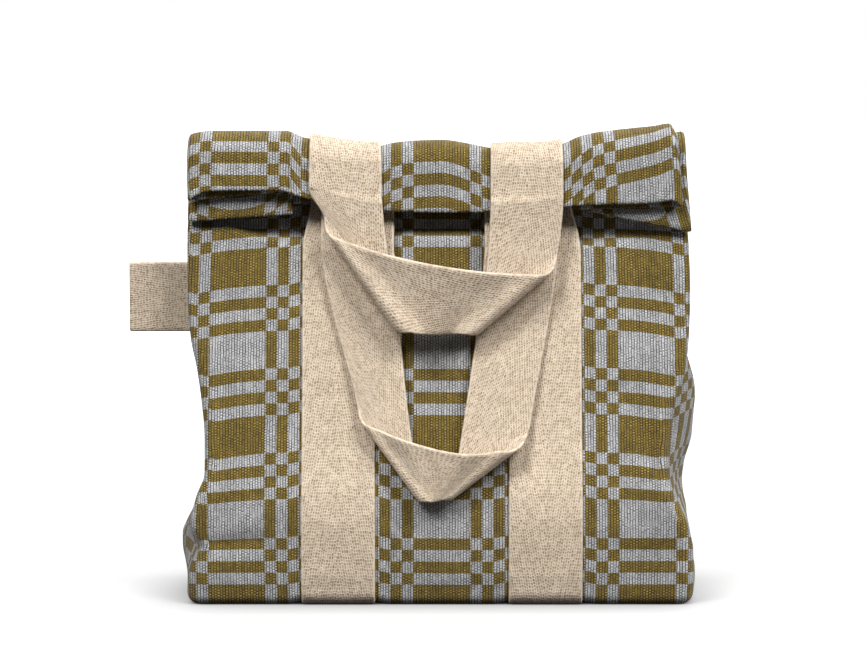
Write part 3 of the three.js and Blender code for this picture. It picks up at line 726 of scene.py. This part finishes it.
def back_rise(side):
    """The back handle lies over the folded top, a little loose, down to the flap's hem."""
    sewn_x = -STRIP_X if side == "left" else STRIP_X
    t = np.linspace(RISE_T[1], RISE_T[-2], BACK_RISE_STEPS)
    step = np.interp(t, RISE_T, np.arange(len(RISE_T)))
    drift = ease(step / (len(RISE_T) - 1) / BACK_DRIFT_END)
    middle = mix(sewn_x, LEGS["back"][side], drift)
    sign = 1 if side == "left" else -1
    x = middle[:, None] + sign * ACROSS[None, :] * WEBBING_WIDTH / 2
    loose = BACK_LOOSE * ease((t - RISE_T[1]) / BACK_LOOSE_EASE)[:, None]
    return offset_from_face("back", t[:, None], x, (STRIP_OFFSET + loose)[..., None])


def strap_rulings(name):
    rise = front_turn if name == "front" else back_rise
    left, right = rise("left"), rise("right")
    loop = hanging_loop(name, left[-1], right[-1])
    return np.concatenate([
        sewn_stretch(name, "left"), left, loop, right[::-1], sewn_stretch(name, "right")[::-1],
    ])


def webbing_object(name, rulings, material):
    middle = rulings[:, ACROSS_STEPS // 2]
    along = np.concatenate([[0], np.cumsum(np.linalg.norm(np.diff(middle, axis=0), axis=1))])
    across = np.broadcast_to(ACROSS * WEBBING_WIDTH / 2, rulings.shape[:2])
    flat = np.stack([across, np.broadcast_to(along[:, None], rulings.shape[:2])], axis=-1)
    quads = grid_quads(*rulings.shape[:2])
    return sheet_object(name, rulings.reshape(-1, 3), quads, flat.reshape(-1, 2), WEBBING, material)


def side_tab_rulings():
    """The tab runs out of the seam, turns over and runs back in beside itself."""
    depth, spread = TAB["depth"], TAB["spread"]
    turn_x = TAB["outer"] + spread
    line = [[x, depth + spread] for x in np.linspace(TAB["inner"], turn_x, TAB_STEPS)]
    for a in np.linspace(0, math.pi, TAB_TURN_STEPS)[1:-1]:
        line.append([turn_x - spread * math.sin(a), depth + spread * math.cos(a)])
    line += [[x, depth - spread] for x in np.linspace(turn_x, TAB["inner"], TAB_STEPS)]
    line = np.array(line)
    heights = mix(TAB["low"], TAB["high"], (ACROSS + 1) / 2)
    x, z = np.broadcast_arrays(line[:, :1], heights[None, :])
    y = np.broadcast_to(line[:, 1:], x.shape)
    return np.stack([x, y, z], axis=-1)


# Materials: small helpers that add one node and give back its output
class Nodes:
    def __init__(self, name):
        self.material = bpy.data.materials.new(name)
        self.material.use_nodes = True
        self.tree = self.material.node_tree
        self.shader = next(n for n in self.tree.nodes if n.type == "BSDF_PRINCIPLED")

    def put(self, socket, value):
        if isinstance(value, bpy.types.NodeSocket):
            self.tree.links.new(value, socket)
        else:
            socket.default_value = value

    def math(self, operation, a, b=0.0, c=0.0):
        node = self.tree.nodes.new("ShaderNodeMath")
        node.operation = operation
        for socket, value in zip(node.inputs, (a, b, c)):
            self.put(socket, value)
        return node.outputs[0]

    def mix(self, share, a, b):
        node = self.tree.nodes.new("ShaderNodeMix")
        node.data_type = "RGBA"
        self.put(node.inputs[0], share)
        self.put(node.inputs[6], a)
        self.put(node.inputs[7], b)
        return node.outputs[2]

    def flat(self):
        node = self.tree.nodes.new("ShaderNodeUVMap")
        node.uv_map = "Cloth"
        parts = self.tree.nodes.new("ShaderNodeSeparateXYZ")
        self.tree.links.new(node.outputs[0], parts.inputs[0])
        return parts.outputs[0], parts.outputs[1]

    def vector(self, x, y=0.0, z=0.0):
        node = self.tree.nodes.new("ShaderNodeCombineXYZ")
        for socket, value in zip(node.inputs, (x, y, z)):
            self.put(socket, value)
        return node.outputs[0]

    def chance(self, x, y=0.0):
        node = self.tree.nodes.new("ShaderNodeTexWhiteNoise")
        node.noise_dimensions = "2D"
        self.tree.links.new(self.vector(x, y), node.inputs["Vector"])
        return node.outputs["Value"]

    def noise(self, vector, scale, detail):
        node = self.tree.nodes.new("ShaderNodeTexNoise")
        self.tree.links.new(vector, node.inputs["Vector"])
        node.inputs["Scale"].default_value = scale
        node.inputs["Detail"].default_value = detail
        return node.outputs[0]

    def smooth(self, value, low, high, to_low=0.0, to_high=1.0):
        node = self.tree.nodes.new("ShaderNodeMapRange")
        node.interpolation_type = "SMOOTHSTEP"
        for name, number in (("From Min", low), ("From Max", high),
                             ("To Min", to_low), ("To Max", to_high)):
            node.inputs[name].default_value = number
        self.put(node.inputs["Value"], value)
        return node.outputs[0]

    def spot(self, phase, inner, outer):
        """1 near the middle of a phase from 0 to 1, fading to 0 between two distances from it."""
        off = self.math("ABSOLUTE", self.math("MULTIPLY_ADD", phase, 2.0, -1.0))
        return self.smooth(off, inner, outer, 1.0, 0.0)

    def bump(self, height, distance, strength=1.0):
        node = self.tree.nodes.new("ShaderNodeBump")
        node.inputs["Distance"].default_value = distance
        node.inputs["Strength"].default_value = strength
        self.tree.links.new(height, node.inputs["Height"])
        self.tree.links.new(node.outputs[0], self.shader.inputs["Normal"])

    def scaled(self, colour, factor):
        node = self.tree.nodes.new("ShaderNodeVectorMath")
        node.operation = "SCALE"
        self.put(node.inputs[0], colour)
        self.put(node.inputs["Scale"], factor)
        return node.outputs[0]


# The cloth: fine ribs in an even two-block check. One wide stripe and four narrow ones repeat
# both ways, and the tone turns over at every stripe.
RIB = 1.94
PICK = 1.96
NARROW_STRIPES = 4
CHECK = {
    "u": {"wide": 40.0, "narrow": 8.0, "start": 20.0},
    "v": {"wide": 27.0, "narrow": 8.2, "start": 9.0},
}
REPEATS_BEFORE = 50
TOOTH = 1.9
TOOTH_DEPTH = 0.55
# Thread colours of each tone; the lightest is a painted highlight on the threads' crowns
THREADS = {
    "pale": {
        "thread": (0.54, 0.54, 0.545, 1), "dull": (0.37, 0.37, 0.372, 1),
        "gap": (0.02, 0.019, 0.018, 1), "highlight_paint": (0.8, 0.8, 0.81, 1),
    },
    "olive": {
        "thread": (0.225, 0.156, 0.027, 1), "dull": (0.13, 0.088, 0.018, 1),
        "gap": (0.012, 0.008, 0.004, 1), "highlight_paint": (0.52, 0.36, 0.068, 1),
    },
}

# Dark dots between the picks, dark grooves between the ribs and painted highlights on the threads'
# crowns, as shares of the half width at which each starts and ends to fade
DOT_ACROSS = (0.1, 0.7)
DOT_ALONG = (0.35, 0.95)
GROOVE_ACROSS = (0.1, 0.6)
PAINTED_HIGHLIGHT_ALONG = (0.1, 0.6)

# How the weave varies: each pair is a share that chance rules and the part that is always there
DOT_CHANCE = (0.6, 0.15)
CLOUD_SHADE = (0.3, 0.86)
RIB_SHADE = (0.2, 0.9)

# From and to values of the chances that rule grooves, painted highlights and duller threads
GROOVE_RANGE = (0.3, 0.6, 0.55, 1.0)
PAINTED_HIGHLIGHT_RANGE = (0.45, 0.9)
DULL_RANGE = (0.3, 0.9)

# Scales of the slow changes along the cloth, and how far threads wander from straight
WANDER_SCALE = 0.16
RIB_WANDER = 1.0
PICK_WANDER = 1.6
STRETCH_SCALE = 0.11
CLOUD_SCALE = 0.05

# Keeps counts of ribs and picks above nought
COUNT_START = 400.0

# Relief of the weave, in metres
WEAVE_DEPTH = 0.0003


def stripe_count(n, at, axis):
    """How many stripes of the check lie before a place along one axis."""
    wide, narrow, start = (CHECK[axis][name] for name in ("wide", "narrow", "start"))
    repeat = wide + NARROW_STRIPES * narrow
    at = n.math("ADD", at, REPEATS_BEFORE * repeat + start)
    column = n.math("FLOOR", n.math("DIVIDE", at, repeat))
    inside = n.math("SUBTRACT", at, n.math("MULTIPLY", column, repeat))
    count = n.math("MULTIPLY", column, NARROW_STRIPES + 1.0)
    for k in range(NARROW_STRIPES):
        count = n.math("ADD", count, n.math("GREATER_THAN", inside, wide + k * narrow))
    return count


def block_tone(n, u, v):
    """1 where the weave is pale and 0 where it is olive, at flat place u, v."""
    return n.math("MODULO", n.math("ADD", stripe_count(n, u, "u"), stripe_count(n, v, "v")), 2.0)


def thread_colour(n, tone, gap, painted_highlight, chance):
    threads = THREADS[tone]
    colour = n.mix(n.smooth(chance, *DULL_RANGE), threads["thread"], threads["dull"])
    # Painted highlights lighten some threads' crowns, standing in for light glinting off the yarn
    return n.mix(gap, n.mix(painted_highlight, colour, threads["highlight_paint"]), threads["gap"])


def cloth_material():
    n = Nodes("block_cloth")
    u, v = n.flat()
    wander = n.noise(n.vector(u, v), WANDER_SCALE, 2.0)
    across = n.math("DIVIDE", n.math("MULTIPLY_ADD", wander, RIB_WANDER, u), RIB)
    across = n.math("ADD", across, COUNT_START)
    rib, rib_phase = n.math("FLOOR", across), n.math("FRACT", across)
    # Every other rib is half a pick ahead
    along = n.math("DIVIDE", n.math("MULTIPLY_ADD", wander, PICK_WANDER, v), PICK)
    ahead = n.math("MULTIPLY_ADD", n.math("MODULO", rib, 2.0), 0.5, COUNT_START)
    along = n.math("ADD", along, ahead)
    pick, pick_phase = n.math("FLOOR", along), n.math("FRACT", along)
    chance, other = n.chance(rib, pick), n.chance(pick, rib)
    rib_chance = n.chance(rib, 3.0)
    dot = n.math("MULTIPLY", n.spot(rib_phase, *DOT_ACROSS), n.spot(pick_phase, *DOT_ALONG))
    dot = n.math("MULTIPLY", dot, n.math("MULTIPLY_ADD", chance, *DOT_CHANCE))
    groove = n.spot(n.math("FRACT", n.math("ADD", across, 0.5)), *GROOVE_ACROSS)
    stretch = n.noise(n.vector(rib, n.math("MULTIPLY", v, STRETCH_SCALE)), 1.0, 2.0)
    groove = n.math("MULTIPLY", groove, n.smooth(stretch, *GROOVE_RANGE))
    gap = n.math("MAXIMUM", dot, groove)
    # Painted highlights: a lighter colour at the crowns of some picks, where light would glint
    painted_highlight = n.spot(n.math("FRACT", n.math("ADD", along, 0.5)), *PAINTED_HIGHLIGHT_ALONG)
    painted_highlight = n.math("MULTIPLY", painted_highlight, n.smooth(other, *PAINTED_HIGHLIGHT_RANGE))
    tooth = n.math("PINGPONG", v, TOOTH / 2)
    edge = n.math("MULTIPLY_ADD", tooth, 4 * TOOTH_DEPTH / TOOTH, -TOOTH_DEPTH)
    tone = block_tone(n, n.math("ADD", u, edge), v)
    olive = thread_colour(n, "olive", gap, painted_highlight, other)
    pale = thread_colour(n, "pale", gap, painted_highlight, other)
    cloudy = n.noise(n.vector(u, v), CLOUD_SCALE, 3.0)
    uneven = n.math("MULTIPLY_ADD", cloudy, *CLOUD_SHADE)
    uneven = n.math("MULTIPLY", uneven, n.math("MULTIPLY_ADD", rib_chance, *RIB_SHADE))
    n.put(n.shader.inputs["Base Color"], n.scaled(n.mix(tone, olive, pale), uneven))
    n.shader.inputs["Roughness"].default_value = 0.92
    n.shader.inputs["Specular IOR Level"].default_value = 0.25
    n.shader.inputs["Sheen Weight"].default_value = 0.12
    n.shader.inputs["Sheen Roughness"].default_value = 0.6
    n.bump(n.math("SUBTRACT", 1.0, gap), WEAVE_DEPTH)
    return n.material


# Webbing: fine dark dashes in rows that lean to both sides of a line down its middle, and a plain
# edge that starts between two distances from that line. The other names are as for the cloth.
WEB_RIB = 1.67
WEB_DASH = 2.24
WEB_LEAN = 0.169
WEB_EDGE = [24.1, 24.7]
WEB_THREADS = {
    "thread": (0.78, 0.655, 0.51, 1), "dull": (0.6, 0.48, 0.35, 1), "gap": (0.22, 0.145, 0.085, 1),
}
WEB_DASH_ACROSS = (0.15, 0.95)
WEB_DASH_ALONG = (0.35, 1.0)
WEB_DASH_CHANCE = (0.5, 0.4)
WEB_DULL_RANGE = (0.2, 1.0)
WEB_CLOUD_SHADE = (0.3, 0.85)
WEB_CLOUD_SCALE = 0.09
WEB_WANDER_SCALE = 0.2
WEB_RIB_WANDER = 1.6
WEB_DASH_WANDER = 2.4
WEB_SIDE_COUNT = 500.0


def webbing_material():
    n = Nodes("linen_webbing")
    u, v = n.flat()
    wander = n.noise(n.vector(u, v), WEB_WANDER_SCALE, 3.0)
    away = n.math("ABSOLUTE", u)
    lean = n.math("MULTIPLY_ADD", v, WEB_LEAN, n.math("MULTIPLY", wander, WEB_RIB_WANDER))
    ribs = n.math("DIVIDE", n.math("ADD", away, lean), WEB_RIB)
    rib, rib_phase = n.math("FLOOR", ribs), n.math("FRACT", ribs)
    dashes = n.math("DIVIDE", n.math("MULTIPLY_ADD", wander, WEB_DASH_WANDER, v), WEB_DASH)
    dashes = n.math("ADD", dashes, n.math("MULTIPLY", n.chance(rib, 5.0), 0.5))
    dash, dash_phase = n.math("FLOOR", dashes), n.math("FRACT", dashes)
    side = n.math("MULTIPLY", n.math("GREATER_THAN", u, 0.0), WEB_SIDE_COUNT)
    place = n.math("ADD", rib, side)
    chance, other = n.chance(place, dash), n.chance(dash, place)
    gap = n.math("MULTIPLY", n.spot(rib_phase, *WEB_DASH_ACROSS), n.spot(dash_phase, *WEB_DASH_ALONG))
    gap = n.math("MULTIPLY", gap, n.math("MULTIPLY_ADD", chance, *WEB_DASH_CHANCE))
    edge = n.smooth(away, *WEB_EDGE)
    gap = n.math("MULTIPLY", gap, n.math("SUBTRACT", 1.0, edge))
    threads = n.mix(n.smooth(other, *WEB_DULL_RANGE), WEB_THREADS["thread"], WEB_THREADS["dull"])
    colour = n.mix(gap, threads, WEB_THREADS["gap"])
    cloudy = n.noise(n.vector(u, v), WEB_CLOUD_SCALE, 4.0)
    uneven = n.math("MULTIPLY_ADD", cloudy, *WEB_CLOUD_SHADE)
    n.put(n.shader.inputs["Base Color"], n.scaled(colour, uneven))
    n.shader.inputs["Roughness"].default_value = 0.9
    n.shader.inputs["Specular IOR Level"].default_value = 0.25
    n.shader.inputs["Sheen Weight"].default_value = 0.1
    n.shader.inputs["Sheen Roughness"].default_value = 0.6
    n.bump(n.math("SUBTRACT", 1.0, gap), WEAVE_DEPTH)
    return n.material


# The camera: at the photograph's angle, level frame, looking a little down. SCALE is millimetres
# a pixel on the bag's front, and CENTRE_X and FLOOR_Y are where its middle and its foot are seen.
SCALE = 0.696
CENTRE_X = 442
FLOOR_Y = 607.5
LOOK_X = (IMAGE_WIDTH / 2 - CENTRE_X) * SCALE
LOOK_Z = (FLOOR_Y - IMAGE_HEIGHT / 2) * SCALE
FRONT_Y = -75.0
DISTANCE = 2300.0
ELEVATION = 4.0
SENSOR = 36.0
FARTHEST_METRES = 50


def make_camera():
    data = bpy.data.cameras.new("camera")
    data.sensor_width = SENSOR
    data.lens = SENSOR * DISTANCE / (SCALE * IMAGE_WIDTH)
    data.clip_end = FARTHEST_METRES
    camera = bpy.data.objects.new("camera", data)
    bpy.context.scene.collection.objects.link(camera)
    e = math.radians(ELEVATION)
    back = Vector((0, -math.cos(e), math.sin(e)))
    target = Vector((LOOK_X, FRONT_Y, LOOK_Z)) * MM
    camera.location = target + back * DISTANCE * MM
    camera.rotation_mode = "QUATERNION"
    camera.rotation_quaternion = (-back).to_track_quat("-Z", "Y")
    bpy.context.scene.camera = camera


# Light: sky and floor look white, but throw little light back, so that folds stay deep. The
# floor's own glow fades close to the bag and grows to white far off, and painted shade darkens it
# where the bag stands on it. Two soft lights come from the front, from both sides, and two weaker
# ones from behind and from the right. Lengths in metres.
SKY_LIGHT = 0.04
FLOOR_BOUNCE = 0.06
FLOOR_PALE = 0.25
FLOOR_GLOW = {"From Min": 0.9, "From Max": 2.2, "To Min": 0.68, "To Max": 1.2}
# How far from the bag the floor's painted contact shade reaches
FLOOR_PAINTED_SHADE_REACH = 0.05
FLOOR_HALF = 40.0
SUNS = [
    # name, towards x, y, z, spread in degrees, strength
    ["left", -0.42, -0.56, 0.72, 22, 2.7],
    ["right", 0.5, -0.52, 0.7, 26, 2.5],
    ["rim", 0.1, 0.7, 0.7, 40, 1.8],
    ["side", 0.9, 0.2, 0.45, 40, 1.3],
]


def sun_light(name, x, y, z, spread, strength):
    data = bpy.data.lights.new(name, "SUN")
    data.angle = math.radians(spread)
    data.energy = strength
    light = bpy.data.objects.new(name, data)
    light.rotation_mode = "QUATERNION"
    light.rotation_quaternion = Vector((-x, -y, -z)).to_track_quat("-Z", "Y")
    bpy.context.scene.collection.objects.link(light)


def camera_switch(nodes, links, other, seen):
    """A value that is one number for the camera's own rays and another for the rest."""
    path = nodes.new("ShaderNodeLightPath")
    ramp = nodes.new("ShaderNodeMapRange")
    ramp.inputs["To Min"].default_value = other
    ramp.inputs["To Max"].default_value = seen
    links.new(path.outputs["Is Camera Ray"], ramp.inputs["Value"])
    return ramp.outputs[0]


def floor_material():
    """Pale floor: painted contact shade darkens it where something stands on it, and it is white far
    off, where it meets the sky.
    """
    material = bpy.data.materials.new("floor")
    material.use_nodes = True
    nodes, links = material.node_tree.nodes, material.node_tree.links
    shader = nodes["Principled BSDF"]
    shader.inputs["Roughness"].default_value = 0.9
    shader.inputs["Specular IOR Level"].default_value = 0.1
    links.new(camera_switch(nodes, links, FLOOR_BOUNCE, FLOOR_PALE), shader.inputs["Base Color"])
    # Painted contact shade: ambient occlusion darkens the floor's glow close to the bag
    near = nodes.new("ShaderNodeAmbientOcclusion")
    near.inputs["Distance"].default_value = FLOOR_PAINTED_SHADE_REACH
    place = nodes.new("ShaderNodeNewGeometry")
    away = nodes.new("ShaderNodeVectorMath")
    away.operation = "LENGTH"
    links.new(place.outputs["Position"], away.inputs[0])
    far = nodes.new("ShaderNodeMapRange")
    far.interpolation_type = "SMOOTHSTEP"
    for name, value in FLOOR_GLOW.items():
        far.inputs[name].default_value = value
    links.new(away.outputs["Value"], far.inputs["Value"])
    glow = nodes.new("ShaderNodeMath")
    glow.operation = "MULTIPLY"
    links.new(far.outputs[0], glow.inputs[0])
    links.new(near.outputs["AO"], glow.inputs[1])
    seen = nodes.new("ShaderNodeMath")
    seen.operation = "MULTIPLY"
    links.new(glow.outputs[0], seen.inputs[0])
    links.new(camera_switch(nodes, links, 0.0, 1.0), seen.inputs[1])
    shader.inputs["Emission Color"].default_value = (1, 1, 1, 1)
    links.new(seen.outputs[0], shader.inputs["Emission Strength"])
    return material


def make_stage():
    mesh = bpy.data.meshes.new("floor")
    half = FLOOR_HALF
    corners = [(-half, -half, 0), (half, -half, 0), (half, half, 0), (-half, half, 0)]
    mesh.from_pydata(corners, [], [(0, 1, 2, 3)])
    mesh.materials.append(floor_material())
    floor = bpy.data.objects.new("floor", mesh)
    bpy.context.scene.collection.objects.link(floor)
    world = bpy.data.worlds.new("studio")
    world.use_nodes = True
    nodes, links = world.node_tree.nodes, world.node_tree.links
    background = nodes["Background"]
    background.inputs["Color"].default_value = (1, 1, 1, 1)
    links.new(camera_switch(nodes, links, SKY_LIGHT, 1.0), background.inputs["Strength"])
    bpy.context.scene.world = world
    for sun in SUNS:
        sun_light(*sun)
    bpy.context.scene.view_settings.view_transform = "Standard"


make_camera()
make_stage()
CLOTH_LOOK = cloth_material()
WEBBING_LOOK = webbing_material()

for panel in ("front", "back"):
    points, quads, flat = cloth_panel(panel)
    piece = sheet_object(panel + "_cloth", points, quads, flat, CLOTH, CLOTH_LOOK)
    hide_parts(panel + "_panel")
    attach(piece, "root")

for name in ("front", "back"):
    piece = webbing_object(name + "_webbing", strap_rulings(name), WEBBING_LOOK)
    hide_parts(name + "_strap")
    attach(piece, "root")

tab = webbing_object("tab_webbing", side_tab_rulings(), WEBBING_LOOK)
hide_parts("side_tab")
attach(tab, "root")
